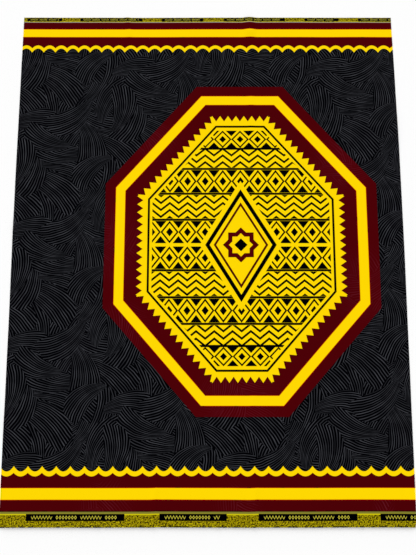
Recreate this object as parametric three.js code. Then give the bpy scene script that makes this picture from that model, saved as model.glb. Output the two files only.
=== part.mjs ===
// A one-yard length of African wax print cotton, laid flat in a single layer: the printed web and the
// selvedges that border it. Millimetres, +Z up. The origin is under the middle of the cloth, on the
// surface that it lies on. +X runs from one cut end to the other, +Y from the near selvedge to the far one.

import * as THREE from 'three';

// Driving dimensions of the cloth
const cutLength = 914.4; // one yard, along either selvedge
const loomWidth = 1219; // 48 inches, over both selvedges
const nearSelvedgeWidth = 33.4;
const farSelvedgeWidth = 14.1;
const wall = 1; // thickness of the solid that stands for the cloth
const seamGap = 0.3; // space between the web and each selvedge

const halfLength = cutLength / 2;
const halfWidth = loomWidth / 2;

// Spacing of the lines that the surface is worked out on
const openPitch = 38; // where the cloth lies flat
const creasePitch = 6; // across a crease
const rimPitch = 13; // beside an edge that lifts
const creaseZone = 30; // how far from a crease the lines stay close, and the widest reach of one
const rimZone = 70; // how far from an edge the lines stay close
const buckleZone = 95; // the same at the far edge, where the buckle stands
const bucklePitch = 11;
const selvedgePitch = 6;

// How far each cut end bows out of a straight line, how much of the bow leans towards the far edge, and how
// much further out its far corner is than its near one
const leftBow = { height: 1.4, lean: 1, skew: 0.8 };
const rightBow = { height: 4.4, lean: 0.3, skew: 0 };
const middleShift = 1.1; // keeps the origin in the middle, because the right end bows out further

// The corners of the near selvedge are drawn in a little, over this much of its width
const nearTuck = { size: 2.4, reach: 13 };

// Near the near edge, the cloth to the left of a fold line has slipped towards that edge. The slip dies away
// leftwards, and it ends within slipEdge to the right of the line. It is full up to slipStart from the
// middle, and gone at slipEnd.
const slips = [
  { at: -119, size: 0.55, fade: 700 },
  { at: 104, size: 0.55, fade: 75 },
];
const slipEdge = 5;
const slipStart = -500;
const slipEnd = -300;

// Slight waves, outwards and inwards, in all four edges
const edgeWaves = [
  { height: 0.25, length: 610, phase: 0.4 },
  { height: 0.12, length: 233, phase: 1.9 },
];

// A crease or lifted place runs straight from one point of the cloth to another. Its heights are those at
// its start, middle and end, and its reach is how far it spreads to each side.
const lifts = {
  // The buckle that stands up at the far edge, and the long fold line that runs on from it
  farBuckle: { from: [104, 610], to: [106, 540], heights: [2.5, 2.6, 0], reach: 22 },
  foldFar: { from: [107, 590], to: [104, 190], heights: [0.9, 0.7, 0.3], reach: 15 },
  foldNear: { from: [104, 190], to: [104, -610], heights: [0.3, 0.5, 1.7], reach: 14 },
  // A short crease at the far edge
  farCrease: { from: [-200, 610], to: [-192, 538], heights: [1.1, 0.9, 0], reach: 13 },
  // The second fold line, which only shows near the near edge
  foldLeft: { from: [-119, -610], to: [-115, -290], heights: [1.9, 0.7, 0], reach: 13 },
  // The near edge curls up evenly all along
  nearCurl: { from: [-442, -612], to: [442, -612], heights: [2.5, 2.7, 2.6], reach: 29 },
  // The far edge lies close, with one low swell to the right of the buckle
  farSwell: { from: [368, 610], to: [362, 500], heights: [0.5, 0.9, 0], reach: 88 },
  // The cut ends curl up a little, unevenly
  leftCurlA: { from: [-458, 62], to: [-424, 56], heights: [1.2, 0.5, 0], reach: 70 },
  leftCurlB: { from: [-458, -386], to: [-430, -380], heights: [1.3, 0.5, 0], reach: 84 },
  rightCurlA: { from: [458, 318], to: [424, 326], heights: [1.8, 0.7, 0], reach: 110 },
  rightCurlB: { from: [458, -556], to: [430, -552], heights: [2.2, 0.9, 0], reach: 96 },
};

// The lifts that are creases or the curl of a selvedge, not long waves
const creases = Object.values(lifts).filter((lift) => lift.reach < creaseZone);

const restHeight = 0.05; // lifts lower than this lie on the surface
const creasePull = 0.3; // how far a crease carries the cloth towards +Y, for each millimetre of its height
const slopeStep = 1; // the distance to each side over which a slope is taken

// 0 at 0 and 1 at 1, level at both ends, and held there beyond them
function ease(t) {
  return (1 - Math.cos(Math.PI * THREE.MathUtils.clamp(t, 0, 1))) / 2;
}

// The height of one crease or lifted place above the point x, y
function liftAt({ from, to, heights, reach }, x, y) {
  const [start, middle, end] = heights;
  const wayX = to[0] - from[0];
  const wayY = to[1] - from[1];
  const offX = x - from[0];
  const offY = y - from[1];
  const run = Math.hypot(wayX, wayY);
  const along = (offX * wayX + offY * wayY) / (run * run);
  const aside = (offX * wayY - offY * wayX) / run;
  const past = (along - THREE.MathUtils.clamp(along, 0, 1)) * run;
  const firstHalf = THREE.MathUtils.lerp(start, middle, ease(2 * along));
  const height = THREE.MathUtils.lerp(firstHalf, end, ease(2 * along - 1));
  return height * ease(1 - Math.hypot(aside, past) / reach);
}

// The height to which lifts raise a place: where several meet, the root of the sum of their squares
function raised(rows, x, y) {
  const height = Math.hypot(...rows.map((row) => liftAt(row, x, y)));
  return Math.max(0, height - restHeight);
}

// The height of the cloth's underside
function underside(x, y) {
  return raised(Object.values(lifts), x, y);
}

// How far the waves take an edge outwards at a place along it
function waveOut(along) {
  return edgeWaves.reduce(
    (sum, wave) => sum + wave.height * Math.sin((2 * Math.PI * along) / wave.length + wave.phase),
    0,
  );
}

// How far a cut end lies outwards at a place along it: a parabola that leans towards the far edge, and the
// skew, which grows straight
function bowOut({ height, lean, skew }, y) {
  const towardsFar = y / halfWidth;
  return height * (1 - towardsFar ** 2) * (1 + lean * towardsFar) + (skew * (1 + towardsFar)) / 2;
}

// How far a place has slipped towards the near edge
function slipped(x, y) {
  const share = ease((slipEnd - y) / (slipEnd - slipStart));
  const sizes = slips.map(({ at, size, fade }) => size * ease(1 - Math.max((at - x) / fade, (x - at) / slipEdge)));
  return share * sizes.reduce((sum, size) => sum + size, 0);
}

// A place on the flat cloth, moved to where its edges and creases put it: the cube leaves the middle alone
function laidPlace(x, y) {
  const towardsCutEnd = (x / halfLength) ** 3;
  const towardsSelvedge = (y / halfWidth) ** 3;
  const endOut = bowOut(x < 0 ? leftBow : rightBow, y) + waveOut(y);
  const tuck = (x / halfLength) * nearTuck.size * ease(1 - (y + halfWidth) / nearTuck.reach);
  const pull = creasePull * raised(creases, x, y) - slipped(x, y);
  return [x + endOut * towardsCutEnd - tuck - middleShift, y + waveOut(x) * towardsSelvedge + pull];
}

// The slope of the underside at a place, along the cloth and across it
function slopes(x, y) {
  const rise = [
    underside(x + slopeStep, y) - underside(x - slopeStep, y),
    underside(x, y + slopeStep) - underside(x, y - slopeStep),
  ];
  return rise.map((height) => height / (2 * slopeStep));
}

// The two faces of the cloth at a place on it: the underside, and the upper face square to it
function faces(flatX, flatY) {
  const [x, y] = laidPlace(flatX, flatY);
  const [slopeX, slopeY] = slopes(flatX, flatY);
  const lower = new THREE.Vector3(x, y, underside(flatX, flatY));
  const upper = new THREE.Vector3(-slopeX, -slopeY, 1).setLength(wall).add(lower);
  return { lower, upper };
}

// Lines from one end to the other, as far apart as pitchAt says at each
function gridLines(start, end, pitchAt) {
  const lines = [start];
  while (lines.at(-1) < end) {
    lines.push(lines.at(-1) + pitchAt(lines.at(-1)));
  }
  const stretch = (end - start) / (lines.at(-1) - start);
  return lines.map((line) => start + (line - start) * stretch);
}

// The pitch along the cloth, closer across the creases that run over it and at the cut ends
function pitchAlong(x) {
  if (creases.some((crease) => Math.abs(x - crease.from[0]) < creaseZone)) return creasePitch;
  return halfLength - Math.abs(x) < rimZone ? rimPitch : openPitch;
}

// The pitch across the cloth, closer beside the selvedges
function pitchAcross(y) {
  if (halfWidth - y < buckleZone) return bucklePitch;
  return y + halfWidth < rimZone ? rimPitch : openPitch;
}

// A closed wall over a grid: the two faces, joined by a strip round the edge
function clothSolid(columns, rows) {
  const across = columns.length;
  const count = across * rows.length;
  const positions = new Float32Array(count * 2 * 3);
  rows.forEach((y, row) => {
    columns.forEach((x, column) => {
      const { lower, upper } = faces(x, y);
      const index = row * across + column;
      lower.toArray(positions, index * 3);
      upper.toArray(positions, (count + index) * 3);
    });
  });

  const indices = [];
  for (let row = 0; row + 1 < rows.length; row += 1) {
    for (let column = 0; column + 1 < across; column += 1) {
      const a = row * across + column;
      const b = a + 1;
      const c = a + across;
      const d = c + 1;
      indices.push(a, d, b, a, c, d);
      indices.push(count + a, count + b, count + d, count + a, count + d, count + c);
    }
  }
  const rim = rimOf(across, rows.length);
  rim.forEach((from, place) => {
    const to = rim[(place + 1) % rim.length];
    indices.push(from, to, count + to, from, count + to, count + from);
  });

  const geometry = new THREE.BufferGeometry();
  geometry.setAttribute('position', new THREE.BufferAttribute(positions, 3));
  geometry.setIndex(indices);
  geometry.computeVertexNormals();
  return geometry;
}

// The grid points round the edge, anticlockwise from above
function rimOf(across, deep) {
  const last = deep - 1;
  const rim = [];
  for (let column = 0; column < across - 1; column += 1) rim.push(column);
  for (let row = 0; row < last; row += 1) rim.push(row * across + across - 1);
  for (let column = across - 1; column > 0; column -= 1) rim.push(last * across + column);
  for (let row = last; row > 0; row -= 1) rim.push(row * across);
  return rim;
}

function piece(name, material, columns, rows) {
  const mesh = new THREE.Mesh(clothSolid(columns, rows), material);
  mesh.name = name;
  return mesh;
}

const lengthLines = gridLines(-halfLength, halfLength, pitchAlong);
const nearJoin = -halfWidth + nearSelvedgeWidth;
const farJoin = halfWidth - farSelvedgeWidth;
const webLines = gridLines(nearJoin + seamGap / 2, farJoin - seamGap / 2, pitchAcross);
const nearLines = gridLines(-halfWidth, nearJoin - seamGap / 2, () => selvedgePitch);
const farLines = gridLines(farJoin + seamGap / 2, halfWidth, () => selvedgePitch);

const printed = new THREE.MeshStandardMaterial({ color: 0x17060a, roughness: 0.7, metalness: 0 });
const speckled = new THREE.MeshStandardMaterial({ color: 0x968c0e, roughness: 0.75, metalness: 0 });

const cloth = new THREE.Group();
cloth.name = 'wax_print_length';
cloth.add(piece('printed_web', printed, lengthLines, webLines));
cloth.add(piece('near_selvedge', speckled, lengthLines, nearLines));
cloth.add(piece('far_selvedge', speckled, lengthLines, farLines));

export default cloth;
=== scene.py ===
"""A one-yard length of African wax print cotton laid flat: its web, its two selvedges and its cut ends.

The file is laid out as a Blender add-on and is run as a script. Blender lengths are metres; the tables of
the creases and the print are in millimetres on the flat cloth, measured as their comments say.
"""

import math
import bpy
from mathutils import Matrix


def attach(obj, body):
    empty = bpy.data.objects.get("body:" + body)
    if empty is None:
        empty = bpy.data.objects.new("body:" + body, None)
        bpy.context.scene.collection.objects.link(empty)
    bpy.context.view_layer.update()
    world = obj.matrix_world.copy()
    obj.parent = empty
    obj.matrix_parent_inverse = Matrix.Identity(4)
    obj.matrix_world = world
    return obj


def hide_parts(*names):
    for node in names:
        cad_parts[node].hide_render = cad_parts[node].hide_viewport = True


bl_info = {
    "name": "Wax Print Length",
    "version": (1, 0, 0),
    "blender": (4, 5, 0),
    "location": "View3D > Sidebar > Wax Print",
    "description": "Weaves and prints a one-yard length of wax print cotton, laid flat in a plain studio",
    "category": "Object",
}

from collections import namedtuple

import bmesh
import bpy
import numpy as np

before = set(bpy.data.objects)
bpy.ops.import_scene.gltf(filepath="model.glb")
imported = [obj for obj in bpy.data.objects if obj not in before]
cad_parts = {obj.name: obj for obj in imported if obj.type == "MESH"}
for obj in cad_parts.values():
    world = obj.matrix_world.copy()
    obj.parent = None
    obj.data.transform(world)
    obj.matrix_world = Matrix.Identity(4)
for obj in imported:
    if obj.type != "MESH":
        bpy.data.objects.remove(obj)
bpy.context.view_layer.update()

MM = 0.001


def dye(red, green, blue):
    """A colour as Blender mixes it, from its values on a screen, each 0 to 255, by the sRGB curve."""
    shares = [value / 255 for value in (red, green, blue)]
    linear = [s / 12.92 if s <= 0.04045 else ((s + 0.055) / 1.055) ** 2.4 for s in shares]
    return (*linear, 1.0)


# Creases and lifted places, in mm from the middle of the cloth: each runs straight from one point to
# another, with its heights at the start, middle and end of the run, and its reach to each side.
Lift = namedtuple("Lift", "from_x from_y to_x to_y start middle end reach")
CREASES = (
    Lift(104, 610, 106, 540, 2.5, 2.6, 0, 22),  # the buckle at the far edge
    Lift(107, 590, 104, 190, 0.9, 0.7, 0.3, 15),  # the fold line that runs on from it
    Lift(104, 190, 104, -610, 0.3, 0.5, 1.7, 14),
    Lift(-200, 610, -192, 538, 1.1, 0.9, 0, 13),  # a short crease at the far edge
    Lift(-119, -610, -115, -290, 1.9, 0.7, 0, 13),  # the second fold line
    Lift(-442, -612, 442, -612, 2.5, 2.7, 2.6, 29),  # the near edge's even curl
)
WAVES = (
    Lift(368, 610, 362, 500, 0.5, 0.9, 0, 88),  # a low swell along the far edge
    Lift(-458, 62, -424, 56, 1.2, 0.5, 0, 70),  # at the cut ends
    Lift(-458, -386, -430, -380, 1.3, 0.5, 0, 84),
    Lift(458, 318, 424, 326, 1.8, 0.7, 0, 110),
    Lift(458, -556, 430, -552, 2.2, 0.9, 0, 96),
)
# Soft handling creases, too low to be in the solids
HANDLING_CREASES = (
    Lift(-420, 330, -262, 302, 0, 0.34, 0, 9),
    Lift(-338, -62, -212, -128, 0, 0.28, 0, 8),
    Lift(-64, 428, 44, 402, 0, 0.26, 0, 7),
    Lift(-384, -396, -252, -436, 0, 0.32, 0, 9),
    Lift(182, 502, 306, 452, 0, 0.36, 0, 10),
    Lift(322, -468, 424, -428, 0, 0.3, 0, 8),
    Lift(-152, 124, -146, -44, 0, 0.24, 0, 7),
    Lift(-458, 62, -398, 41, 0.7, 0.3, 0, 12),
    Lift(458, -122, 408, -148, 0.6, 0.3, 0, 11),
    Lift(21, -610, 29, -516, 0.7, 0.3, 0, 9),
    Lift(-242, -610, -236, -532, 0.6, 0.3, 0, 8),
    Lift(338, -610, 331, -544, 0.6, 0.3, 0, 10),
    Lift(302, 148, 384, 58, 0, 0.26, 0, 8),
    Lift(-300, 545, -130, 498, 0, 0.22, 0, 8),
    Lift(-30, -470, 86, -486, 0, 0.24, 0, 8),
)
REST_HEIGHT = 0.05  # mm; lifts lower than this lie on the surface
CREASE_PULL = 0.3  # how far a crease carries the cloth towards +Y, for each mm that it stands up
AT_EDGE = 610  # mm; where a crease that starts at a selvedge's edge starts, to either side of the middle
SLOPE_STEP = 0.1  # mm; the distance to each side over which a slope is taken
# Slight waves in all four edges, outwards and inwards: mm, mm and radians
EdgeWave = namedtuple("EdgeWave", "height length phase")
EDGE_WAVES = (EdgeWave(0.25, 610, 0.4), EdgeWave(0.12, 233, 1.9))
# How far in mm each cut end bows out of a straight line, how much of the bow leans towards the far edge,
# and how many mm further out its far corner is than its near one
Bow = namedtuple("Bow", "height lean skew")
LEFT_BOW = Bow(1.4, 1, 0.8)
RIGHT_BOW = Bow(4.4, 0.3, 0)
MIDDLE_SHIFT = 1.1  # mm; keeps the origin in the middle, because the right end bows out further
# How far in mm the corners of the near selvedge are drawn in, and over how much of its width
NEAR_TUCK = 2.4
TUCK_REACH = 13
# Near the near edge, the cloth to the left of a fold line has slipped towards that edge. The slip dies away
# leftwards and ends within SLIP_EDGE to the right of the line. It is full up to SLIP_START from the middle,
# and gone at SLIP_END. All are mm.
Slip = namedtuple("Slip", "at size fade")
SLIPS = (Slip(-119, 0.55, 700), Slip(104, 0.55, 75))
SLIP_EDGE = 5
SLIP_START = -500
SLIP_END = -300
# Faint undulation of cloth that has been smoothed out by hand: mm high, mm long each way, radians
Undulation = namedtuple("Undulation", "height along across phase")
UNDULATIONS = (Undulation(0.10, 143, 187, 0.3), Undulation(0.06, 71, 96, 1.7))

# How far in mm the mesh lines stay close beside a crease or a cut end, and beside a selvedge
CREASE_ZONE = 45.0
SELVEDGE_ZONE = 60.0
FINE_PLACES = 4000  # at which the density of the mesh lines is worked out
SHARP_ANGLE = math.radians(50)  # edges that turn by more stay sharp
# How much of the bake's image the underside and the face take up
BAKED_UNDERSIDE = 0.984
BAKED_FACE = 0.996
# Where in it the loose threads and the rings of each lie, and how far apart a thread's sides are for the
# space of one thread
BAKED_THREADS = (0.01, 0.99)
BAKED_RINGS = (0.05, 0.95)
BAKED_SIDE = 0.3

THREAD_SEED = 7
THREAD_ROOT = 0.25  # mm; how far inside the cut a loose thread starts
THREAD_RADII = (0.09, 0.14)  # mm
THREAD_REST = 0.12  # mm; how low its middle can droop
THREAD_PLACES = (0.1, 0.9)  # where it stands in its own stretch of the cut
THREAD_LENGTHS = (0.35, 1.0)  # the root of its share of the greatest length
THREAD_LEAN = 0.5  # how far it leans to either side at most, for its length
THREAD_DROOP = 0.25  # how far it droops, for its length
THREAD_TAPER = 0.6  # how much of its radius it loses
THREAD_RINGS = 4
THREAD_SIDES = 3

# A border, in mm inwards from its selvedge's edge: the yellow stripe, and for the two rows of parabolas
# that bound the scalloped line the place of their middles and their rise for each square mm. Then the mean
# pitch of the scallops, and each pitch after the place where it starts, in mm from the left cut end,
# because they aren't printed evenly. The first starts at a cusp.
Border = namedtuple(
    "Border", "stripe_start stripe_end outer_base outer_rise inner_base inner_rise pitch pitches"
)
NEAR_PITCHES = ((58.8, 31.33), (278.1, 34.9), (313.0, 31.06), (592.5, 32.49))
FAR_PITCHES = ((24.0, 28.55), (252.4, 29.6), (430.0, 30.88), (553.5, 29.46))
NEAR_BORDER = Border(59.5, 83.9, 109.2, 0.031, 119.7, 0.047, 31.7, NEAR_PITCHES)
FAR_BORDER = Border(32.1, 52.35, 75.1, 0.036, 83.5, 0.049, 29.4, FAR_PITCHES)
FRINGE = 1.5  # mm; how far the maroon is redder beside a yellow stripe
# Where faint strokes show on the maroon of the near border and then of the medallion: the middle of each
# patch and its reach, in mm. They are even over PATCH_CORE of the reach, and then fade.
STROKED_PATCHES = (
    (-224, -566, 74), (66, -566, 62), (388, -566, 30),
    (-236, 30, 120), (-196, -170, 80), (70, -340, 120), (372, -70, 110), (318, 226, 90), (-126, 286, 70),
)
PATCH_CORE = 0.2
STROKES_ON_MAROON = 0.55  # how strongly they show at most

# Black marking boxes along each selvedge, in mm from the left cut end
NEAR_BOXES = ((58.5, 274.6), (351.4, 499.1), (569.3, 785.9), (836.4, 930.0))
FAR_BOXES = ((8.6, 94.5), (139.7, 294.8), (343.0, 446.4), (498.1, 650.2), (699.1, 783.7), (832.4, 930.0))
# Bands of a selvedge, in mm inwards from its edge: its boxes, a bright line, which only the gaps between
# the boxes show, the unprinted line, and a yellow cast. Then how strong the bright line and the cast are,
# the height of the marks in the boxes, how far they keep from the ends of a box, and how many there are in
# a run.
Selvedge = namedtuple(
    "Selvedge",
    "box_start box_end bright_start bright_end line_start cast_start cast_end "
    "brightness cast mark_height margin in_run",
)
NEAR_SELVEDGE = Selvedge(14.1, 29.3, 26.7, 29.3, 29.3, 29.3, 30.6, 1.0, 0.2, 9.0, 7.6, 8)
FAR_SELVEDGE = Selvedge(1.9, 9.6, 9.4, 12.0, 12.0, 11.2, 12.4, 0.45, 0.7, 4.3, 5.4, 7)
NEAR_RIM = 2.6  # mm; how far in dark patches reach from the near selvedge's edge
NEAR_LINE_END = 33.9  # mm inwards from the near edge; how far the unprinted line runs on into the web
HAIRLINE = (34.3, 36.1)  # mm inwards from the near edge; the broken black line beside it
FAR_MAROON = 13.4  # mm inwards from the far edge; where the far selvedge is printed maroon
# The marks in the boxes
MARK_PITCH = 0.75  # how wide one is for its height
ZIGZAG_SPAN = 0.75  # how far a zigzag goes up and down, for its height
ZIGZAG_LINE = 0.13  # half the width of its line, for its height
LOZENGE_NARROWING = 1.1
LOZENGE_RING = (0.525, 0.975)  # its line, in shares of the way to its points
LOZENGE_BLEED = 0.075
RUN_GAP = 0.6  # marks; half the gap between two runs

# Uneven places in the dye, from a noise: how fine it is for each metre, its detail and roughness, the two
# of its values between which they come in, and how strongly they show
Uneven = namedtuple("Uneven", "scale detail roughness low high strength")
FRINGE_PATCHES = Uneven(40.0, 2.0, 0.5, 0.2, 0.45, 1.0)
HAIRLINE_PATCHES = Uneven(55.0, 2.0, 0.5, 0.38, 0.5, 0.8)
STROKE_PATCHES = Uneven(34.0, 1.0, 0.5, 0.3, 0.7, 0.4)
RIM_PATCHES = Uneven(45.0, 1.0, 0.5, 0.5, 0.56, 0.85)
FLECKS = Uneven(330.0, 1.0, 0.6, 0.5, 0.7, 0.7)
SPECKS = Uneven(290.0, 1.0, 0.6, 0.53, 0.61, 1.0)
DYE_BLEED = 0.35  # mm; half the width of the edge between two dyes

# The cotton's finish: its roughness, how much and how finely for each metre that varies, and how strongly
# the weave's relief shows
Finish = namedtuple("Finish", "roughness variation scale relief")
WEB_FINISH = Finish(0.6, 0.1, 60.0, 0.25)
SELVEDGE_FINISH = Finish(0.7, 0.1, 90.0, 0.4)
COTTON_SPECULAR = 0.005  # the shader's specular level
WEAVE_HEIGHT = 0.03  # mm
SLUB_HEIGHT = 0.05  # mm
SLUB_SCALES = (40.0, 900.0)  # how fine slubs are along a yarn and across it, for each metre

# The medallion's bands, in mm inwards from its outline: a yellow one, the toothed edge of the field, the
# line inside it, and where the rows of the field start
YELLOW_BAND = (25.0, 47.0)
FIELD_DEPTH = 76.0
TOOTH_PITCH = 20.0
TOOTH_HEIGHT = 14.0
FIELD_LINE = (101.0, 106.0)
ROWS_DEPTH = 112.0
# The field's rows, in mm from its middle to either side: where each row of zigzags starts and ends, the
# middle and half height of each row of diamonds, and the lines between the rows
ZIGZAG_ROWS = ((64.0, 122.0), (190.0, 236.0))
DIAMOND_ROWS = ((31.0, 27.0), (156.0, 28.0), (262.0, 22.0))
ROW_LINES = (61.0, 125.0, 187.0, 238.0)
ROW_LINE_HALF = 2.6  # half the width of a line
FIGURE_PITCH = 42.0  # along a row
ZIGZAG_PITCH = 17.0  # from one zigzag to the next
ZIGZAG_HALF = 3.1  # half the width of its line
# A diamond's line and heart and the corners round it, in shares of the way to its points, and how soft
# their edges are
DIAMOND_RING = (0.785, 1.015)
DIAMOND_HEART = 0.395
DIAMOND_CORNERS = 1.355
DIAMOND_BLEED = 0.015
# The middle panel in mm: half its diagonals, its margin, frame and line, and half the star and its parts
PANEL_HALF = (84.0, 136.0)
PANEL_MARGIN = 11.0
PANEL_FRAME = 9.0
PANEL_LINE = (17.0, 22.0)
STAR_HALF = 30.0
STAR_INSIDE = 20.0
STAR_HEART = 11.0

# The hatched ground: bunches of strokes that fan out, in a half-drop repeat. Each has its centre in the
# repeat in mm, the turn of its run in degrees, half its run and half its width in mm, how far it bends, and
# how much wider it grows along its run.
HATCH_REPEAT = (238.0, 272.0)
STROKE_PITCH = 5.0  # mm
FINEST = 2.6  # mm; the pitch that a fan of no length would have
LONG_RUN = 70.0  # mm; half the run of a fan with the common pitch
POINTED = 0.5  # how much narrower a fan is at the ends of its run
BEND_RISE = 2.0  # how far a fan's middle line rises towards both ends of its run, for its bend
BEND_START = 0.6  # how far to the other side the line is halfway along, for its bend
ACROSS_OPEN = (0.66, 0.75)  # the way across the straight strokes between the fans
WANDER = 0.7  # strokes; how far the noise moves one
WANDER_SCALE = 29.0  # how fine the noise is, for each metre
STROKE_EDGE = (0.3, 1.0)  # the values of its cosine between which a stroke comes in
# Slower cosines of a stroke's number: the turns of each for one stroke, where it starts in radians, and how
# strong it is. The first makes the strokes' widths uneven, and the second their tones.
SlowWave = namedtuple("SlowWave", "rate phase strength")
UNEVEN_WIDTHS = SlowWave(0.37, 1.7, 0.18)
UNEVEN_TONES = SlowWave(0.23, 0.6, 0.15)
Fan = namedtuple("Fan", "x y turn run spread bend taper")
FANS = (
    Fan(36, 36, 86, 74, 34, 9, 0.40),
    Fan(134, 16, 56, 72, 35, -9, -0.42),
    Fan(200, 62, -28, 70, 35, 10, 0.44),
    Fan(80, 98, 104, 74, 34, 9, 0.40),
    Fan(168, 124, 48, 68, 34, -10, -0.42),
    Fan(18, 142, 148, 72, 35, 9, -0.40),
    Fan(108, 168, -36, 74, 34, -9, 0.42),
    Fan(218, 178, 72, 70, 35, 10, 0.40),
    Fan(54, 214, 74, 70, 34, 9, -0.44),
    Fan(156, 218, -18, 72, 34, -10, 0.42),
    Fan(116, 262, -20, 68, 33, 8, -0.42),
    Fan(12, 262, 36, 66, 32, -8, 0.44),
    Fan(192, 270, 98, 66, 33, 9, -0.42),
    Fan(64, 62, -2, 60, 30, -8, 0.42),
    Fan(148, 72, 34, 62, 30, 9, -0.44),
    Fan(236, 116, 60, 58, 28, -8, 0.42),
    Fan(88, 14, -24, 56, 26, 7, -0.46),
    Fan(30, 230, 82, 60, 28, 8, 0.50),
    Fan(196, 214, 44, 54, 26, -8, -0.50),
)

FLOOR_HALF = 6.0  # metres, as are the next three
FLOOR_BELOW = 0.0002  # under the cloth
WINDOW_PLACE = (-0.3, 2.0, 1.0)  # of the lamp, whose light has one direction all over
NEAREST_SEEN = 0.02  # from the camera
PICTURE_HEIGHT = 36.0  # mm, inside the camera


def length(name, description, default):
    """A setting in metres."""
    return bpy.props.FloatProperty(name=name, description=description, default=default, unit="LENGTH")


def angle(name, description, degrees):
    """A setting that is an angle."""
    turn = math.radians(degrees)
    return bpy.props.FloatProperty(name=name, description=description, default=turn, subtype="ANGLE")


def ink(name, description, *values):
    """A dye as a setting, from its red, green and blue on a screen, each 0 to 255."""
    return bpy.props.FloatVectorProperty(
        name=name, description=description, default=dye(*values), subtype="COLOR", size=4
    )


class ClothSizes(bpy.types.PropertyGroup):
    """The cloth's own sizes."""

    cut_length: length("Cut length", "Length between the two cut ends: one yard", 0.9144)
    loom_width: length("Loom width", "Width over both selvedges: 48 inches", 1.219)
    near_selvedge: length("Near selvedge", "Width of the near selvedge", 0.0334)
    far_selvedge: length("Far selvedge", "Width of the far selvedge", 0.0141)
    thickness: length("Thickness", "Thickness of the calendered cotton", 0.00045)
    line_spacing: length("Line spacing", "Mesh spacing where the cloth lies open", 0.0075)
    crease_spacing: length("Crease spacing", "Mesh spacing at creases and edges", 0.0035)
    yarn_pitch: length("Yarn pitch", "Distance between two neighbouring yarns", 0.0004)
    thread_spacing: length("Thread spacing", "Mean distance between loose ends at a cut", 0.0026)
    thread_length: length("Thread length", "Longest loose end at a cut", 0.0012)


class PrintColours(bpy.types.PropertyGroup):
    """The dyes of the print and of the selvedges."""

    yellow: ink("Yellow", "Stripes, scallops and motifs", 252, 214, 2)
    maroon: ink("Maroon", "Stripes and medallion bands", 74, 1, 6)
    maroon_stroke: ink("Maroon stroke", "Hatching on the maroon", 104, 32, 44)
    fringe: ink("Fringe", "Redder maroon beside the yellow", 164, 4, 0)
    black: ink("Black", "Ground between the strokes", 0, 0, 2)
    stroke: ink("Stroke", "Hatching on the black ground", 66, 67, 72)
    olive: ink("Olive", "Selvedge ground", 134, 119, 5)
    olive_bright: ink("Bright olive", "Brighter flecks of the selvedge", 205, 193, 10)
    olive_dark: ink("Dark olive", "Dark specks of the selvedge", 40, 31, 2)
    near_line: ink("Near line", "Unprinted line by the near selvedge", 122, 120, 46)
    far_line: ink("Far line", "Unprinted line by the far selvedge", 146, 145, 148)
    mark: ink("Marks", "Small marks in the black boxes", 196, 188, 62)


class MedallionSizes(bpy.types.PropertyGroup):
    """The medallion's place on the cloth and the size of its eight-sided outline."""

    centre_x: length("Centre along", "From the middle of the cloth, towards the right", 0.0783)
    centre_y: length("Centre across", "From the middle of the cloth, towards the far edge", 0.0265)
    half_length: length("Half length", "Half its size along the cloth", 0.3211)
    half_width: length("Half width", "Half its size across the cloth", 0.3978)
    side: length("Half side", "Half of its straight left and right sides", 0.150)
    top: length("Half top", "Half of its straight near and far sides", 0.105)


class StudioSettings(bpy.types.PropertyGroup):
    """The floor, the light and the camera."""

    floor: ink("Floor", "The pale surface that the cloth lies on", 251, 251, 251)
    surround: bpy.props.FloatProperty(
        name="Surround", description="Strength of the even white surround", default=0.793
    )
    window_strength: bpy.props.FloatProperty(
        name="Window strength", description="Strength of the wide soft light from the far side", default=2.1
    )
    window_height: angle("Window height", "How high the soft light stands above the floor", 20)
    window_turn: angle("Window turn", "How far the soft light stands to the left", 8)
    window_spread: angle("Window spread", "Width of the soft light as the cloth sees it", 40)
    lens: bpy.props.FloatProperty(
        name="Lens", description="Focal length in mm for a picture 36 mm high", default=48.78,
        subtype="DISTANCE_CAMERA",
    )
    camera_height: length("Camera height", "Height of a camera held by someone standing", 1.7202)
    camera_back: length("Camera back", "Distance on the near side of the cloth's middle", 0.3871)
    camera_aside: length("Camera aside", "Distance to the left of the cloth's middle", 0.0002)
    camera_tilt: angle("Camera tilt", "Tilt from straight down", 11.0367)


def ease(t):
    """Half a cosine: 0 at 0, 1 at 1, level at both, and held beyond them."""
    return (1 - np.cos(np.pi * np.clip(t, 0, 1))) / 2


def lift_at(lift, x, y):
    """Height of one lift in mm: eased between its three heights along its run, and eased down aside."""
    way_x, way_y = lift.to_x - lift.from_x, lift.to_y - lift.from_y
    off_x, off_y = x - lift.from_x, y - lift.from_y
    run = math.hypot(way_x, way_y)
    along = (off_x * way_x + off_y * way_y) / run**2
    aside = (off_x * way_y - off_y * way_x) / run
    past = (along - np.clip(along, 0, 1)) * run
    first_half = lift.start + (lift.middle - lift.start) * ease(2 * along)
    height = first_half + (lift.end - first_half) * ease(2 * along - 1)
    return height * ease(1 - np.hypot(aside, past) / lift.reach)


def raised(lifts, x, y):
    """Height in mm of a place on lifts: the root of the sum of their squares, less what lies down."""
    squares = sum(lift_at(lift, x, y) ** 2 for lift in lifts)
    return np.maximum(0, np.sqrt(squares) - REST_HEIGHT)


def underside(x, y):
    """Height of the cloth's underside in mm: lifts and handling creases over an undulation of two sines."""
    height = raised(CREASES + WAVES, x, y) + raised(HANDLING_CREASES, x, y)
    for wave in UNDULATIONS:
        along = np.sin(2 * np.pi * x / wave.along + wave.phase)
        across = np.sin(2 * np.pi * y / wave.across - wave.phase)
        height = height + wave.height * np.maximum(0, along * across)
    return height


def wave_out(along):
    """How far in mm the waves take an edge outwards at a place along it: the sum of their sines."""
    return sum(w.height * np.sin(2 * np.pi * along / w.length + w.phase) for w in EDGE_WAVES)


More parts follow.
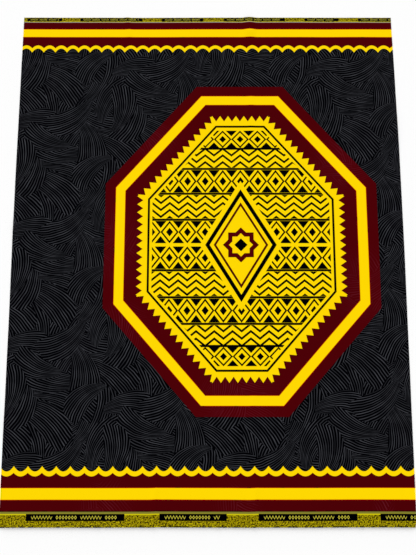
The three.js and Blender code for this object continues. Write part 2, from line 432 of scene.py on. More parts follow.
def bow_out(bow, towards_far):
    """How far out in mm a cut end lies: a parabola that leans to the far edge, and a straight skew."""
    parabola = bow.height * (1 - towards_far**2) * (1 + bow.lean * towards_far)
    return parabola + bow.skew * (1 + towards_far) / 2


def slipped(x, y):
    """How far in mm a place has slipped towards the near edge: an eased fall to both sides of each line."""
    share = ease((SLIP_END - y) / (SLIP_END - SLIP_START))
    away = [np.maximum((slip.at - x) / slip.fade, (x - slip.at) / SLIP_EDGE) for slip in SLIPS]
    return share * sum(slip.size * ease(1 - far) for slip, far in zip(SLIPS, away))


def laid(x, y, half_length, half_width):
    """Where a place on the flat cloth lies, in mm.

    The bows and waves of the edges carry it outwards, as the cube of its way to them, the near corners are
    tucked in, creases pull it, and it has slipped beside the fold lines.
    """
    towards_end, towards_far = x / half_length, y / half_width
    bow = np.where(x < 0, bow_out(LEFT_BOW, towards_far), bow_out(RIGHT_BOW, towards_far))
    tuck = NEAR_TUCK * ease(1 - (y + half_width) / TUCK_REACH) * towards_end
    laid_x = x + (bow + wave_out(y)) * towards_end**3 - tuck - MIDDLE_SHIFT
    laid_y = y + wave_out(x) * towards_far**3 + CREASE_PULL * raised(CREASES, x, y) - slipped(x, y)
    return np.stack([laid_x, laid_y, underside(x, y)], axis=-1)


def upward(x, y):
    """The cloth's upward normal at a place, from the slope of its underside."""
    step = SLOPE_STEP
    slope_x = (underside(x + step, y) - underside(x - step, y)) / (2 * step)
    slope_y = (underside(x, y + step) - underside(x, y - step)) / (2 * step)
    normal = np.stack([-slope_x, -slope_y, np.ones_like(slope_x)], axis=-1)
    return normal / np.linalg.norm(normal, axis=-1, keepdims=True)


def spaced(start, end, open_spacing, close_spacing, close_places, zone):
    """Places from start to end, as dense as the inverse of a spacing that shrinks by the close places."""
    fine = np.linspace(start, end, FINE_PLACES)
    nearness = sum(ease(1 - np.abs(fine - place) / zone) for place in close_places)
    density = 1 / open_spacing + (1 / close_spacing - 1 / open_spacing) * np.minimum(1, nearness)
    count = np.concatenate([[0], np.cumsum((density[1:] + density[:-1]) / 2 * np.diff(fine))])
    lines = int(round(count[-1])) + 1
    return np.interp(np.linspace(0, count[-1], lines), count, fine)


def fill_mesh(name, points, quads, flat, bake):
    """A new object from arrays: points, quads of four of them each, and two maps given at each point."""
    mesh = bpy.data.meshes.new(name)
    mesh.vertices.add(len(points))
    mesh.vertices.foreach_set("co", points.astype(np.float32).ravel())
    mesh.loops.add(quads.size)
    mesh.loops.foreach_set("vertex_index", quads.astype(np.int32).ravel())
    mesh.polygons.add(len(quads))
    mesh.polygons.foreach_set("loop_start", np.arange(0, quads.size, quads.shape[1], dtype=np.int32))
    mesh.polygons.foreach_set("use_smooth", np.ones(len(quads), dtype=bool))
    for layer, values in (("cloth", flat), ("OFBake", bake)):
        uv = mesh.uv_layers.new(name=layer)
        uv.data.foreach_set("uv", values[quads.ravel()].astype(np.float32).ravel())
    mesh.update(calc_edges=True)
    if mesh.validate():
        raise RuntimeError(f"{name} has faults in its mesh")
    mesh.set_sharp_from_angle(angle=SHARP_ANGLE)
    piece = bpy.data.objects.new(name, mesh)
    bpy.context.scene.collection.objects.link(piece)
    return piece


def rim_of(across, deep):
    """The grid points round the edge, anticlockwise from above, from the near left corner."""
    row, column = np.arange(deep - 1), np.arange(across - 1)
    near, right = column, row * across + across - 1
    far = (deep - 1) * across + across - 1 - column
    left = (deep - 1 - row) * across
    return np.concatenate([near, right, far, left])


def cloth_shell(name, columns, rows, sizes):
    """A closed shell of cloth over a grid of flat places: the underside, the face square to it, the rim.

    The bake's map is the flat piece stretched over the whole image, with the underside a little inside
    the face, so that the rim has width there too.
    """
    x, y = (grid.ravel() for grid in np.meshgrid(columns, rows))
    half_length, half_width = sizes.cut_length / 2 / MM, sizes.loom_width / 2 / MM
    lower = laid(x, y, half_length, half_width)
    upper = lower + upward(x, y) * sizes.thickness / MM
    points = np.concatenate([lower, upper]) * MM

    across, count = len(columns), len(x)
    corner = (np.arange(len(rows) - 1)[:, None] * across + np.arange(across - 1)[None, :]).ravel()
    over = np.stack([corner, corner + 1, corner + across + 1, corner + across], axis=1)
    rim = rim_of(across, len(rows))
    rim_next = np.roll(rim, -1)
    wall = np.stack([rim, rim_next, rim_next + count, rim + count], axis=1)
    quads = np.concatenate([over[:, ::-1], over + count, wall])

    flat = np.stack([x, y], axis=1) * MM
    low, high = flat.min(axis=0), flat.max(axis=0)
    even = (flat - low) / (high - low) - 0.5
    bake = np.concatenate([even * BAKED_UNDERSIDE, even * BAKED_FACE]) + 0.5
    return fill_mesh(name, points, quads, np.concatenate([flat, flat]), bake)


def cut_threads(name, side, sizes, generator):
    """Loose warp ends along one cut end: each is a taper with a few sides that droops as a parabola."""
    half_length, half_width = sizes.cut_length / 2 / MM, sizes.loom_width / 2 / MM
    first, last = near_join(sizes), far_join(sizes)
    count = int((last - first) / (sizes.thread_spacing / MM))
    place = np.arange(count) + generator.uniform(*THREAD_PLACES, count)
    root_y = first + place * (last - first) / count
    root_x = np.full(count, side * (half_length - THREAD_ROOT))
    loose = sizes.thread_length / MM * generator.uniform(*THREAD_LENGTHS, count) ** 2
    lean = generator.uniform(-THREAD_LEAN, THREAD_LEAN, count)
    radius = generator.uniform(*THREAD_RADII, count)

    inside = upward(root_x, root_y) * sizes.thickness / MM / 2
    root = laid(root_x, root_y, half_length, half_width) + inside
    way = np.linspace(0, 1, THREAD_RINGS)[None, :]
    reach = THREAD_ROOT + loose[:, None]
    spine = np.stack(
        [
            root[:, :1] + side * reach * way,
            root[:, 1:2] + lean[:, None] * reach * way**2,
            np.maximum(THREAD_REST, root[:, 2:3] - THREAD_DROOP * loose[:, None] * way**2),
        ],
        axis=-1,
    )
    corners = np.arange(THREAD_SIDES)
    turn = corners * 2 * np.pi / THREAD_SIDES
    ring = np.stack([np.zeros(THREAD_SIDES), np.cos(turn), np.sin(turn)], axis=-1)
    girth = radius[:, None] * (1 - THREAD_TAPER * way)
    points = (spine[:, :, None, :] + girth[:, :, None, None] * ring[None, None]).reshape(-1, 3) * MM

    each = THREAD_RINGS * THREAD_SIDES
    ring_start = np.arange(THREAD_RINGS - 1) * THREAD_SIDES
    start = (np.arange(count) * each)[:, None, None] + ring_start[None, :, None]
    here, onward = start + corners, start + np.roll(corners, -1)
    quads = np.stack([here, onward, onward + THREAD_SIDES, here + THREAD_SIDES], axis=-1).reshape(-1, 4)
    if side < 0:
        quads = quads[:, ::-1]

    # The bake's map has the threads side by side, each with its rings up the image and its sides apart
    flat = np.repeat(np.stack([root_x, root_y], axis=1) * MM, each, axis=0)
    across = np.repeat(np.linspace(*BAKED_THREADS, count), each)
    aside = np.tile(corners * BAKED_SIDE / count, THREAD_RINGS * count)
    up = np.repeat(np.linspace(*BAKED_RINGS, THREAD_RINGS), THREAD_SIDES)
    bake = np.stack([across + aside, np.tile(up, count)], axis=1)
    piece = fill_mesh(name, points, quads, flat, bake)
    close_ends(piece.data)
    return piece


def close_ends(mesh):
    """Fills each open ring of a mesh with one face."""
    work = bmesh.new()
    work.from_mesh(mesh)
    ring_edges = [edge for edge in work.edges if edge.is_boundary]
    bmesh.ops.holes_fill(work, edges=ring_edges, sides=THREAD_SIDES)
    work.to_mesh(mesh)
    work.free()


class Strand:
    """A number on its way between nodes, so that sums in a material read as sums."""

    def __init__(self, vat, socket):
        self.vat = vat
        self.socket = socket

    def __add__(self, other):
        return self.vat.maths("ADD", self, other)

    def __sub__(self, other):
        return self.vat.maths("SUBTRACT", self, other)

    def __rsub__(self, other):
        return self.vat.maths("SUBTRACT", other, self)

    def __mul__(self, other):
        return self.vat.maths("MULTIPLY", self, other)

    def __truediv__(self, other):
        return self.vat.maths("DIVIDE", self, other)

    def __abs__(self):
        return self.vat.maths("ABSOLUTE", self)

    __radd__ = __add__
    __rmul__ = __mul__


class DyeVat:
    """The node tree of one material, and the ways of adding to it."""

    def __init__(self, name):
        self.material = bpy.data.materials.new(name)
        self.material.use_nodes = True
        self.tree = self.material.node_tree
        self.tree.nodes.clear()

    def node(self, kind, settings=None, sockets=None, output=0):
        """Adds a node: its settings first, then the values or links of its sockets. Returns one output."""
        made = self.tree.nodes.new("ShaderNode" + kind)
        for name, value in (settings or {}).items():
            setattr(made, name, value)
        for name, value in (sockets or {}).items():
            self.feed(made.inputs[name], value)
        return made.outputs[output] if made.outputs else made

    def feed(self, socket, value):
        """Links a socket, or sets its own value."""
        if isinstance(value, Strand):
            value = value.socket
        if isinstance(value, bpy.types.NodeSocket):
            self.tree.links.new(value, socket)
        else:
            socket.default_value = value

    def maths(self, operation, *values):
        """One operation on numbers."""
        return Strand(self, self.node("Math", {"operation": operation}, dict(enumerate(values))))

    def least(self, first, *others):
        """The least of several numbers."""
        for other in others:
            first = self.maths("MINIMUM", first, other)
        return first

    def greatest(self, one, other):
        """The greater of two numbers."""
        return self.maths("MAXIMUM", one, other)

    def fold(self, value, pitch):
        """A number brought to within half a pitch of 0, on both sides, again and again."""
        return self.maths("WRAP", value, pitch / 2, -pitch / 2)

    def ramp(self, value, low, high):
        """0 below low, 1 above high, and a smooth step between."""
        settings = {"interpolation_type": "SMOOTHSTEP"}
        sockets = {"Value": value, "From Min": low, "From Max": high}
        return Strand(self, self.node("MapRange", settings, sockets))

    def past(self, value, limit, bleed=DYE_BLEED):
        """1 where a number is past a limit, with an edge as soft as dye leaves it."""
        if isinstance(limit, Strand):
            return self.ramp(value - limit, -bleed, bleed)
        return self.ramp(value, limit - bleed, limit + bleed)

    def within(self, value, low, high, bleed=DYE_BLEED):
        """1 between two limits."""
        return self.past(value, low, bleed) - self.past(value, high, bleed)

    def blend(self, low, high, share):
        """A number between two others."""
        return Strand(self, self.node("Mix", {"data_type": "FLOAT"}, {0: share, 2: low, 3: high}))

    def paint(self, under, over, share):
        """One colour laid over another."""
        settings = {"data_type": "RGBA", "clamp_factor": True}
        return self.node("Mix", settings, {0: share, 6: under, 7: over}, output=2)

    def noise(self, vector, scale, detail=2.0, roughness=0.5):
        """A number between 0 and 1 that wanders over the surface, scale times a unit."""
        sockets = {"Vector": vector, "Scale": scale, "Detail": detail, "Roughness": roughness}
        return Strand(self, self.node("TexNoise", {"noise_dimensions": "2D"}, sockets))

    def patches(self, vector, uneven):
        """Uneven places, from 0 to their strength."""
        noise = self.noise(vector, uneven.scale, uneven.detail, uneven.roughness)
        return self.ramp(noise, uneven.low, uneven.high) * uneven.strength

    def places(self):
        """The flat cloth's two coordinates in mm from its middle, and their vector in metres."""
        vector = self.node("UVMap", {"uv_map": "cloth"})
        split = self.node("SeparateXYZ", {}, {0: vector}).node
        x, y = (Strand(self, metres) * (1 / MM) for metres in split.outputs[:2])
        return x, y, vector

    def surface(self, sockets):
        """Closes the material with one shader."""
        shader = self.node("BsdfPrincipled", {}, sockets)
        self.node("OutputMaterial", {}, {"Surface": shader})
        return self.material

    def cotton(self, colour, vector, height, finish):
        """Closes a cotton, its relief from a height in mm."""
        sockets = {
            "Base Color": colour,
            "Roughness": self.noise(vector, finish.scale) * finish.variation + finish.roughness,
            "Normal": self.node("Bump", {}, {"Strength": finish.relief, "Distance": MM, "Height": height}),
            "Specular IOR Level": COTTON_SPECULAR,
        }
        return self.surface(sockets)


def plain_weave(vat, x, y, vector, sizes):
    """Height of a plain weave in mm: the product of two sines at the yarn's pitch, and slubs both ways."""
    turns = math.pi * MM / sizes.yarn_pitch
    over_under = vat.maths("SINE", x * turns) * vat.maths("SINE", y * turns)
    along, across = SLUB_SCALES
    slubs = 0.0
    for scales in ((along, across, 1.0), (across, along, 1.0)):
        stretched = vat.node("VectorMath", {"operation": "MULTIPLY"}, {0: vector, 1: scales})
        slubs = vat.noise(stretched, 1.0, 1.0) + slubs
    return over_under * WEAVE_HEIGHT + slubs * SLUB_HEIGHT


def fan_strokes(vat, x, y, fan):
    """One fan: the number of the stroke at a place, counted from its middle, and the mask of where it lies.

    The place is brought into the half-drop repeat round the fan and turned into a share of its run and a
    distance from its middle line, which is a parabola. That distance is divided by a width that grows
    straight along the run, so the strokes fan out, and its edge narrows as the square of the share.
    """
    repeat_x, repeat_y = HATCH_REPEAT
    from_centre = x - fan.x
    drops = vat.maths("ROUND", from_centre * (1 / repeat_x))
    local_x = vat.maths("MULTIPLY_ADD", drops, -repeat_x, from_centre)
    local_y = vat.fold(vat.maths("MULTIPLY_ADD", drops, repeat_y / 2, y - fan.y), repeat_y)
    turn = math.radians(fan.turn)
    cosine, sine = math.cos(turn), math.sin(turn)
    along = vat.maths("MULTIPLY_ADD", local_x, cosine / fan.run, local_y * (sine / fan.run))
    aside = vat.maths("MULTIPLY_ADD", local_x, -sine, local_y * cosine)
    square = along * along
    bent = vat.maths("MULTIPLY_ADD", square, -BEND_RISE * fan.bend, aside + BEND_START * fan.bend)
    across = bent / vat.maths("MULTIPLY_ADD", along, fan.taper, 1.0)
    edge = vat.maths("MULTIPLY_ADD", square, POINTED, abs(across) * (1 / fan.spread))
    inside = vat.maths("LESS_THAN", vat.greatest(edge, square), 1.0)
    pitch = FINEST + (STROKE_PITCH - FINEST) * fan.run / LONG_RUN
    return across * (1 / pitch), inside


def slow_wave(vat, number, wave):
    """A cosine of a stroke's number that turns less than once a stroke."""
    return vat.maths("COSINE", number * (wave.rate * 2 * math.pi) + wave.phase) * wave.strength


def hatching(vat, x, y, vector):
    """How much of the stroke colour shows, 0 to 1.

    The stroke's number comes from straight strokes with the fans laid over them, and a noise makes it
    wander. Its cosine, with a slower one for uneven widths, is the stroke, whose tone varies from one
    stroke to the next with another slow cosine and from place to place with a noise.
    """
    across_x, across_y = ACROSS_OPEN
    number = (x * across_x + y * across_y) * (1 / STROKE_PITCH)
    for fan in FANS:
        strokes, inside = fan_strokes(vat, x, y, fan)
        number = vat.blend(number, strokes, inside)
    number = (vat.noise(vector, WANDER_SCALE, 1.0) - 0.5) * WANDER + number
    wave = vat.maths("COSINE", number * (2 * math.pi)) + slow_wave(vat, number, UNEVEN_WIDTHS)
    stroke_tone = slow_wave(vat, number, UNEVEN_TONES) + (1 - UNEVEN_TONES.strength)
    patch_tone = vat.patches(vector, STROKE_PATCHES) + (1 - STROKE_PATCHES.strength)
    return vat.ramp(wave, *STROKE_EDGE) * stroke_tone * patch_tone


def scalloped_border(vat, colour, from_left, inwards, border, inks):
    """A striped border with a scalloped line, over the colour so far.

    Both edges of the line are parabolas that meet in cusps: each rises from its place at the middle of a
    scallop with the square of the way from there.
    """
    yellow, maroon, fringe = inks
    first_cusp, first_pitch = border.pitches[0]
    number = (from_left - first_cusp) * (1 / first_pitch)
    for (_, before), (start, pitch) in zip(border.pitches, border.pitches[1:]):
        number = number + vat.greatest(from_left - start, 0.0) * (1 / pitch - 1 / before)
    from_middle = vat.fold(number - 0.5, 1.0) * border.pitch
    square = from_middle * from_middle
    outer = vat.maths("MULTIPLY_ADD", square, border.outer_rise, border.outer_base)
    inner = vat.maths("MULTIPLY_ADD", square, border.inner_rise, border.inner_base)
    colour = vat.paint(colour, yellow, 1.0 - vat.past(inwards, inner))
    colour = vat.paint(colour, maroon, 1.0 - vat.past(inwards, outer))
    redder = vat.within(inwards, border.stripe_start - FRINGE, border.stripe_end + FRINGE)
    colour = vat.paint(colour, fringe, redder)
    return vat.paint(colour, yellow, vat.within(inwards, border.stripe_start, border.stripe_end))


def triangle_wave(vat, value, pitch):
    """0 at the middle of each pitch and 1 halfway between, rising straight."""
    return abs(vat.fold(value, pitch)) * (2.0 / pitch)


def toothed_depth(vat, to_side, to_top, to_slant, away, corner, slant_x, slant_y):
    """How far in mm the teeth of the field's edge reach inwards beside a place.

    Each side of the medallion has a whole number of teeth, counted from its corner: a triangle wave of
    the distance from that corner, along whichever side is nearest.
    """
    away_x, away_y = away
    corner_x, corner_y = corner
    far_x, far_y = corner_x[1], corner_y[1]
    side_y, top_x = corner_y[0], corner_x[0]
    slant_length = math.hypot(far_x - top_x, far_y - side_y)
    side_pitch = 2 * side_y / round(2 * side_y / TOOTH_PITCH)
    top_pitch = 2 * top_x / round(2 * top_x / TOOTH_PITCH)
    slant_pitch = slant_length / round(slant_length / TOOTH_PITCH)
    along_slant = away_y * slant_x - away_x * slant_y + (far_x * slant_y - side_y * slant_x)
    on_side = vat.maths("LESS_THAN", to_side, to_top)
    on_slant = vat.maths("LESS_THAN", to_slant, vat.least(to_side, to_top))
    side_teeth = triangle_wave(vat, away_y - side_y, side_pitch)
    top_teeth = triangle_wave(vat, away_x - top_x, top_pitch)
    slant_teeth = triangle_wave(vat, along_slant, slant_pitch)
    return vat.blend(vat.blend(top_teeth, side_teeth, on_side), slant_teeth, on_slant) * TOOTH_HEIGHT


def medallion(vat, colour, x, y, sizes, inks):
    """An eight-sided medallion: nested bands round rows of zigzags and diamonds, with a star in the middle.

    Its depth at a place is the least of the distances in mm to its upright, level and slanting sides.
    """
    yellow, maroon, fringe, black = inks
    away_x = abs(x - sizes.centre_x / MM)
    away_y = abs(y - sizes.centre_y / MM)
    half_x, half_y = sizes.half_length / MM, sizes.half_width / MM
    side, top = sizes.side / MM, sizes.top / MM
    slant = math.hypot(half_y - side, half_x - top)
    slant_x, slant_y = (half_y - side) / slant, (half_x - top) / slant
    to_side, to_top = half_x - away_x, half_y - away_y
    to_slant = slant_x * half_x + slant_y * side - (away_x * slant_x + away_y * slant_y)
    depth = vat.least(to_side, to_top, to_slant)

    band_start, band_end = YELLOW_BAND
    colour = vat.paint(colour, maroon, vat.past(depth, 0.0))
    colour = vat.paint(colour, fringe, vat.within(depth, band_start - FRINGE, band_end + FRINGE))
    colour = vat.paint(colour, yellow, vat.within(depth, band_start, band_end))

    # Where the corners are at the teeth's middle depth: the slanting side runs between the two of them.
    deep = FIELD_DEPTH + TOOTH_HEIGHT / 2
    corner_x = (top - deep * (1 - slant_y) / slant_x, half_x - deep)
    corner_y = (side - deep * (1 - slant_x) / slant_y, half_y - deep)
    teeth = toothed_depth(
        vat, to_side, to_top, to_slant, (away_x, away_y), (corner_x, corner_y), slant_x, slant_y
    )
    colour = vat.paint(colour, yellow, vat.past(depth - teeth, FIELD_DEPTH))
    colour = vat.paint(colour, black, vat.within(depth, *FIELD_LINE))
    colour = vat.paint(colour, black, vat.past(depth, ROWS_DEPTH) * field_rows(vat, away_x, away_y))
    return middle_panel(vat, colour, away_x, away_y, (yellow, maroon, black))


def field_rows(vat, away_x, away_y):
    """The dark line work of the field, alike on both sides of its middle: rows of zigzags and of diamonds.

    The zigzags are level lines that a triangle wave shifts. A diamond's parts end where the sum of the
    shares of the way to its points, along the row and across it, has their values.
    """
    figure = triangle_wave(vat, away_x, FIGURE_PITCH)
    off_line = abs(vat.fold(away_y + figure * ZIGZAG_PITCH, ZIGZAG_PITCH))
    rows = sum(vat.within(away_y, start, end) for start, end in ZIGZAG_ROWS)
    marks = rows * (1.0 - vat.past(off_line, ZIGZAG_HALF))
    for middle, half in DIAMOND_ROWS:
        spread = figure + abs(away_y - middle) * (1 / half)
        ring = vat.within(spread, *DIAMOND_RING, DIAMOND_BLEED)
        heart = 1.0 - vat.past(spread, DIAMOND_HEART, DIAMOND_BLEED)
        corners = vat.past(spread, DIAMOND_CORNERS, DIAMOND_BLEED)
        row = vat.within(away_y, middle - half, middle + half)
        marks = marks + row * (ring + heart + corners)
    for line in ROW_LINES:
        marks = marks + vat.within(away_y, line - ROW_LINE_HALF, line + ROW_LINE_HALF)
    return vat.least(marks, 1.0)


def middle_panel(vat, colour, away_x, away_y, inks):
    """A framed lozenge with an eight-pointed star: the star is the lesser of a square and a diamond."""
    yellow, maroon, black = inks
    half_x, half_y = PANEL_HALF
    slope = math.hypot(1 / half_x, 1 / half_y)
    inwards = 1 / slope - (away_x * (1 / (half_x * slope)) + away_y * (1 / (half_y * slope)))
    colour = vat.paint(colour, yellow, vat.past(inwards, -PANEL_MARGIN))
    colour = vat.paint(colour, black, vat.past(inwards, 0.0))
    colour = vat.paint(colour, yellow, vat.past(inwards, PANEL_FRAME))
    colour = vat.paint(colour, maroon, vat.within(inwards, *PANEL_LINE))
    diamond = (away_x + away_y) * math.sqrt(0.5)
    star = vat.least(vat.greatest(away_x, away_y), diamond)
    colour = vat.paint(colour, maroon, 1.0 - vat.past(star, STAR_HALF))
    colour = vat.paint(colour, yellow, 1.0 - vat.past(star, STAR_INSIDE))
    return vat.paint(colour, black, 1.0 - vat.past(diamond, STAR_HEART))


def stroked_patches(vat, x, y):
    """How much of the hatching shows on the maroon: the sum of round patches that fade outwards."""
    patches = 0.0
    for middle_x, middle_y, reach in STROKED_PATCHES:
        off_x, off_y = x - middle_x, y - middle_y
        away = vat.maths("SQRT", off_x * off_x + off_y * off_y)
        patches = 1.0 - vat.ramp(away, reach * PATCH_CORE, reach) + patches
    return patches


def web_material(scene):
    """Wax-printed cotton: hatched black ground, medallion and borders, the same on both faces."""
    sizes, colours = scene.cloth_sizes, scene.print_colours
    vat = DyeVat("wax_print_cotton")
    x, y, vector = vat.places()
    yellow, black = tuple(colours.yellow), tuple(colours.black)
    strokes = hatching(vat, x, y, vector)
    ground = vat.paint(black, tuple(colours.stroke), strokes)
    faint = strokes * stroked_patches(vat, x, y) * STROKES_ON_MAROON
    maroon = vat.paint(tuple(colours.maroon), tuple(colours.maroon_stroke), faint)
    fringe = vat.paint(maroon, tuple(colours.fringe), vat.patches(vector, FRINGE_PATCHES))

    colour = medallion(vat, ground, x, y, scene.medallion_sizes, (yellow, maroon, fringe, black))
    half_length, half_width = sizes.cut_length / 2 / MM, sizes.loom_width / 2 / MM
    from_left, from_near = x + half_length, y + half_width
    inks = (yellow, maroon, fringe)
    colour = scalloped_border(vat, colour, from_left, from_near, NEAR_BORDER, inks)
    colour = scalloped_border(vat, colour, from_left, half_width - y, FAR_BORDER, inks)
    colour = vat.paint(colour, tuple(colours.near_line), 1.0 - vat.past(from_near, NEAR_LINE_END))
    hairline = vat.within(from_near, *HAIRLINE) * vat.patches(vector, HAIRLINE_PATCHES)
    colour = vat.paint(colour, black, hairline)
    return vat.cotton(colour, vector, plain_weave(vat, x, y, vector, sizes), WEB_FINISH)


def box_marks(vat, along, from_middle, places):
    """Generic marks in a box: a run of zigzag, then a run of lozenges, with a gap between two runs."""
    height = places.mark_height
    pitch = height * MARK_PITCH
    wave = triangle_wave(vat, along, pitch)
    off_line = abs(from_middle - (wave - 0.5) * (height * ZIGZAG_SPAN))
    zigzag_line = 1.0 - vat.past(off_line, height * ZIGZAG_LINE)
    lozenge = wave * LOZENGE_NARROWING + abs(from_middle) * (2.0 / height)
    lozenge_line = vat.within(lozenge, *LOZENGE_RING, LOZENGE_BLEED)
    run = places.in_run * pitch
    second = vat.maths("LESS_THAN", vat.fold(along, 2 * run), 0.0)
    in_run = 1.0 - vat.past(abs(vat.fold(along - run / 2, run)), run / 2 - pitch * RUN_GAP)
    return vat.blend(zigzag_line, lozenge_line, second) * in_run


def selvedge_boxes(vat, from_left, boxes, places):
    """Where a place along the selvedge is: in a box, where a box has marks, and mm from the marks' start.

    The marks start at a margin from the box's start, and end in the middle of the last whole mark that
    keeps the same margin at its end.
    """
    pitch = places.mark_height * MARK_PITCH
    beside, marked, along = 0.0, 0.0, 0.0
    for start, end in boxes:
        inside = vat.within(from_left, start, end)
        first = start + places.margin
        whole_marks = (end - places.margin - first) // pitch
        beside = inside + beside
        marked = vat.within(from_left, first, first + (whole_marks - 0.5) * pitch) + marked
        along = inside * (from_left - first) + along
    return beside, marked, along


def selvedge_material(scene, name, places, boxes, line_colour, far):
    """Close-woven selvedge: speckled olive, black boxes of small marks, and the unprinted line."""
    sizes, colours = scene.cloth_sizes, scene.print_colours
    vat = DyeVat(name)
    x, y, vector = vat.places()
    half_width = sizes.loom_width / 2 / MM
    inwards = half_width - y if far else y + half_width
    bright, black = tuple(colours.olive_bright), tuple(colours.black)

    colour = vat.paint(tuple(colours.olive), bright, vat.patches(vector, FLECKS))
    colour = vat.paint(colour, tuple(colours.olive_dark), vat.patches(vector, SPECKS))
    if not far:
        rim = 1.0 - vat.past(inwards, NEAR_RIM)
        colour = vat.paint(colour, black, vat.patches(vector, RIM_PATCHES) * rim)

    from_left = x + sizes.cut_length / 2 / MM
    beside, marked, along = selvedge_boxes(vat, from_left, boxes, places)
    bright_line = vat.within(inwards, places.bright_start, places.bright_end)
    colour = vat.paint(colour, bright, bright_line * (1.0 - beside) * places.brightness)
    box = beside * vat.within(inwards, places.box_start, places.box_end)
    colour = vat.paint(colour, black, box)
    middle = (places.box_start + places.box_end) / 2
    marks = box_marks(vat, along, inwards - middle, places)
    colour = vat.paint(colour, tuple(colours.mark), marks * marked)
    colour = vat.paint(colour, tuple(line_colour), vat.past(inwards, places.line_start))
    cast = vat.within(inwards, places.cast_start, places.cast_end) * places.cast
    if far:
        colour = vat.paint(colour, bright, cast * beside)
        colour = vat.paint(colour, tuple(colours.maroon), vat.past(inwards, FAR_MAROON))
    else:
        colour = vat.paint(colour, bright, cast)
    return vat.cotton(colour, vector, plain_weave(vat, x, y, vector, sizes), SELVEDGE_FINISH)


def near_join(sizes):
    """Where the near selvedge ends, in mm from the middle of the cloth."""
    return (-sizes.loom_width / 2 + sizes.near_selvedge) / MM


def far_join(sizes):
    """Where the far selvedge starts, in mm from the middle of the cloth."""
    return (sizes.loom_width / 2 - sizes.far_selvedge) / MM


def length_lines(sizes):
    """Mesh lines along the cloth, closer at the cut ends and at the creases that start at a selvedge."""
    half = sizes.cut_length / 2 / MM
    close = [-half, half] + [crease.from_x for crease in CREASES if abs(crease.from_y) == AT_EDGE]
    return spaced(-half, half, sizes.line_spacing / MM, sizes.crease_spacing / MM, close, CREASE_ZONE)


class WAXPRINT_OT_weave_web(bpy.types.Operator):
    """Weave and print the web, and give its cut ends their loose threads"""

    bl_idname = "waxprint.weave_web"
    bl_label = "Weave Web"

    def execute(self, context):
        scene = context.scene
        sizes = scene.cloth_sizes
        start, end = near_join(sizes), far_join(sizes)
        open_spacing, close_spacing = sizes.line_spacing / MM, sizes.crease_spacing / MM
        rows = spaced(start, end, open_spacing, close_spacing, [start, end], SELVEDGE_ZONE)
        web = cloth_shell("wax_print_web", length_lines(sizes), rows, sizes)
        material = web_material(scene)
        web.data.materials.append(material)

        generator = np.random.default_rng(THREAD_SEED)
        for name, side in (("left_cut_threads", -1), ("right_cut_threads", 1)):
            threads = cut_threads(name, side, sizes, generator)
            threads.data.materials.append(material)
            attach(threads, "root")

        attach(web, "root")
        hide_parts("printed_web")
        flat = (sizes.cut_length, (end - start) * MM)
        return {"FINISHED"}


class WAXPRINT_OT_weave_selvedges(bpy.types.Operator):
    """Weave the near and far selvedges and mark them"""

    bl_idname = "waxprint.weave_selvedges"
    bl_label = "Weave Selvedges"

    def execute(self, context):
        scene = context.scene
        sizes, colours = scene.cloth_sizes, scene.print_colours
        half = sizes.loom_width / 2 / MM
        spacing = sizes.crease_spacing / MM
        plans = (
            ("near", -half, near_join(sizes), NEAR_SELVEDGE, NEAR_BOXES, colours.near_line),
            ("far", far_join(sizes), half, FAR_SELVEDGE, FAR_BOXES, colours.far_line),
        )
        for side, start, end, places, boxes, line_colour in plans:
            rows = np.linspace(start, end, round((end - start) / spacing) + 1)
            selvedge = cloth_shell(f"{side}_edge_cloth", length_lines(sizes), rows, sizes)
            name = f"{side}_selvedge_cotton"
            material = selvedge_material(scene, name, places, boxes, line_colour, side == "far")
            selvedge.data.materials.append(material)
            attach(selvedge, "root")
            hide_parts(f"{side}_selvedge")
            (end - start) * MM
        return {"FINISHED"}


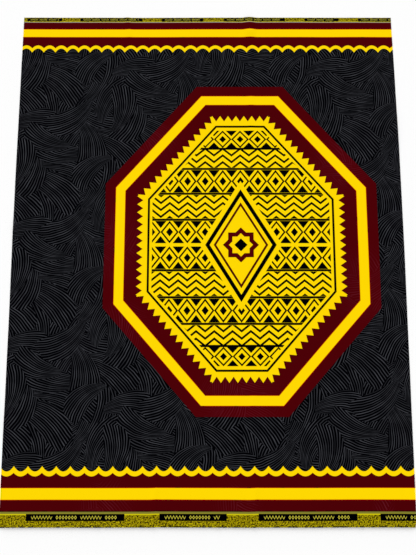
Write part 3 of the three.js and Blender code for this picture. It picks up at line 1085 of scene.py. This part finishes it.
class WAXPRINT_OT_build_studio(bpy.types.Operator):
    """Lay the pale floor, and set the soft light and the camera"""

    bl_idname = "waxprint.build_studio"
    bl_label = "Build Studio"

    def execute(self, context):
        scene = context.scene
        studio = scene.studio_settings
        self.lay_floor(scene, studio)
        self.light(scene, studio)
        self.set_camera(scene, studio)
        scene.view_settings.view_transform = "Standard"
        scene.view_settings.look = "None"
        return {"FINISHED"}

    @staticmethod
    def lay_floor(scene, studio):
        """A pale plane just under the cloth."""
        mesh = bpy.data.meshes.new("floor")
        signs = ((-1, -1), (1, -1), (1, 1), (-1, 1))
        corners = [(x * FLOOR_HALF, y * FLOOR_HALF, -FLOOR_BELOW) for x, y in signs]
        mesh.from_pydata(corners, [], [(0, 1, 2, 3)])
        floor = bpy.data.objects.new("floor", mesh)
        scene.collection.objects.link(floor)
        sockets = {"Base Color": tuple(studio.floor), "Roughness": 0.8, "Specular IOR Level": 0.1}
        mesh.materials.append(DyeVat("pale_floor").surface(sockets))

    @staticmethod
    def light(scene, studio):
        """An even white surround, and a wide soft light from a window beyond the far side."""
        world = bpy.data.worlds.new("white_surround")
        world.use_nodes = True
        background = world.node_tree.nodes["Background"]
        background.inputs["Color"].default_value = (1, 1, 1, 1)
        background.inputs["Strength"].default_value = studio.surround
        scene.world = world

        lamp = bpy.data.lights.new("window_light", "SUN")
        lamp.energy = studio.window_strength
        lamp.angle = studio.window_spread
        window = bpy.data.objects.new("window_light", lamp)
        window.location = WINDOW_PLACE
        window.rotation_euler = (studio.window_height - math.pi / 2, 0, studio.window_turn)
        scene.collection.objects.link(window)

    @staticmethod
    def set_camera(scene, studio):
        """A camera held by someone standing at the near edge, looking nearly straight down."""
        lens = bpy.data.cameras.new("photo_camera")
        lens.sensor_fit = "VERTICAL"
        lens.sensor_height = PICTURE_HEIGHT
        lens.lens = studio.lens
        lens.clip_start = NEAREST_SEEN
        camera = bpy.data.objects.new("photo_camera", lens)
        camera.location = (-studio.camera_aside, -studio.camera_back, studio.camera_height)
        camera.rotation_euler = (studio.camera_tilt, 0, 0)
        scene.collection.objects.link(camera)
        scene.camera = camera


class WAXPRINT_PT_panel(bpy.types.Panel):
    """Lists the pieces and their sizes and colours"""

    bl_idname = "WAXPRINT_PT_panel"
    bl_label = "Wax Print Length"
    bl_space_type = "VIEW_3D"
    bl_region_type = "UI"
    bl_category = "Wax Print"

    def draw(self, context):
        scene = context.scene
        for operator in STEPS:
            self.layout.operator(operator.bl_idname)
        for group in (scene.cloth_sizes, scene.print_colours, scene.medallion_sizes, scene.studio_settings):
            box = self.layout.box()
            for name in group.bl_rna.properties.keys():
                if name not in ("rna_type", "name"):
                    box.prop(group, name)


GROUPS = {
    "cloth_sizes": ClothSizes,
    "print_colours": PrintColours,
    "medallion_sizes": MedallionSizes,
    "studio_settings": StudioSettings,
}
STEPS = (WAXPRINT_OT_build_studio, WAXPRINT_OT_weave_web, WAXPRINT_OT_weave_selvedges)
CLASSES = (*GROUPS.values(), *STEPS, WAXPRINT_PT_panel)


def register():
    for part in CLASSES:
        bpy.utils.register_class(part)
    for name, group in GROUPS.items():
        setattr(bpy.types.Scene, name, bpy.props.PointerProperty(type=group))


def unregister():
    for name in GROUPS:
        delattr(bpy.types.Scene, name)
    for part in reversed(CLASSES):
        bpy.utils.unregister_class(part)


def main():
    """Builds the stage and the cloth."""
    register()
    bpy.ops.waxprint.build_studio()
    bpy.ops.waxprint.weave_web()
    bpy.ops.waxprint.weave_selvedges()


if __name__ == "__main__":
    main()
